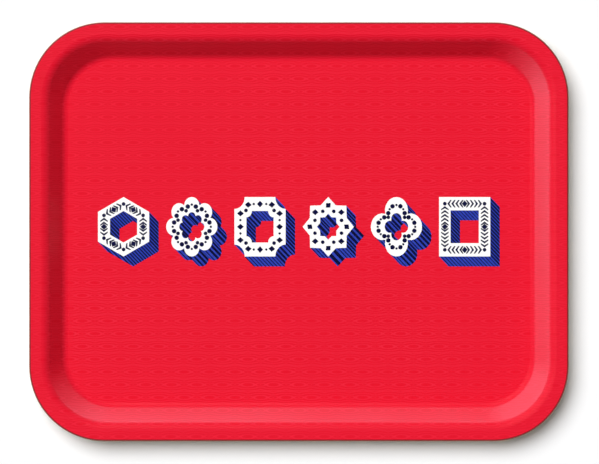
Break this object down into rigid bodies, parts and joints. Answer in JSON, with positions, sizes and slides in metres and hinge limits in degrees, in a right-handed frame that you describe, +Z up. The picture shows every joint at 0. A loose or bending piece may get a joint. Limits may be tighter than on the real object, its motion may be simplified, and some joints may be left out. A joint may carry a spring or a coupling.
{
  "type": "serving tray",
  "caption": "Rounded rectangular serving tray pressed from veneer laminate, with a shallow well, a sloping wall all round and a narrow flat lip.",
  "frame": {"origin": "centre of the flat underside, on the surface the tray stands on", "axes": "+X along the long side, +Y along the short side towards the top of the printed band, +Z up out of the well"},
  "size_m": [0.43, 0.334, 0.02],
  "materials": {
    "printed_melamine": "satin printed melamine",
    "birch_long_grain": "cut birch veneer edge, grain along the long side",
    "birch_cross_grain": "cut birch veneer edge, end grain along the long side",
    "sealed_birch_back": "birch under a thin satin melamine film"
  },
  "bodies": {
    "root": {"decor_sheet": "printed_melamine", "face_veneer": "birch_long_grain", "upper_cross_veneer": "birch_cross_grain", "core_veneer": "birch_long_grain", "lower_cross_veneer": "birch_cross_grain", "back_veneer": "birch_long_grain", "backing_sheet": "sealed_birch_back"}
  },
  "joints": []
}
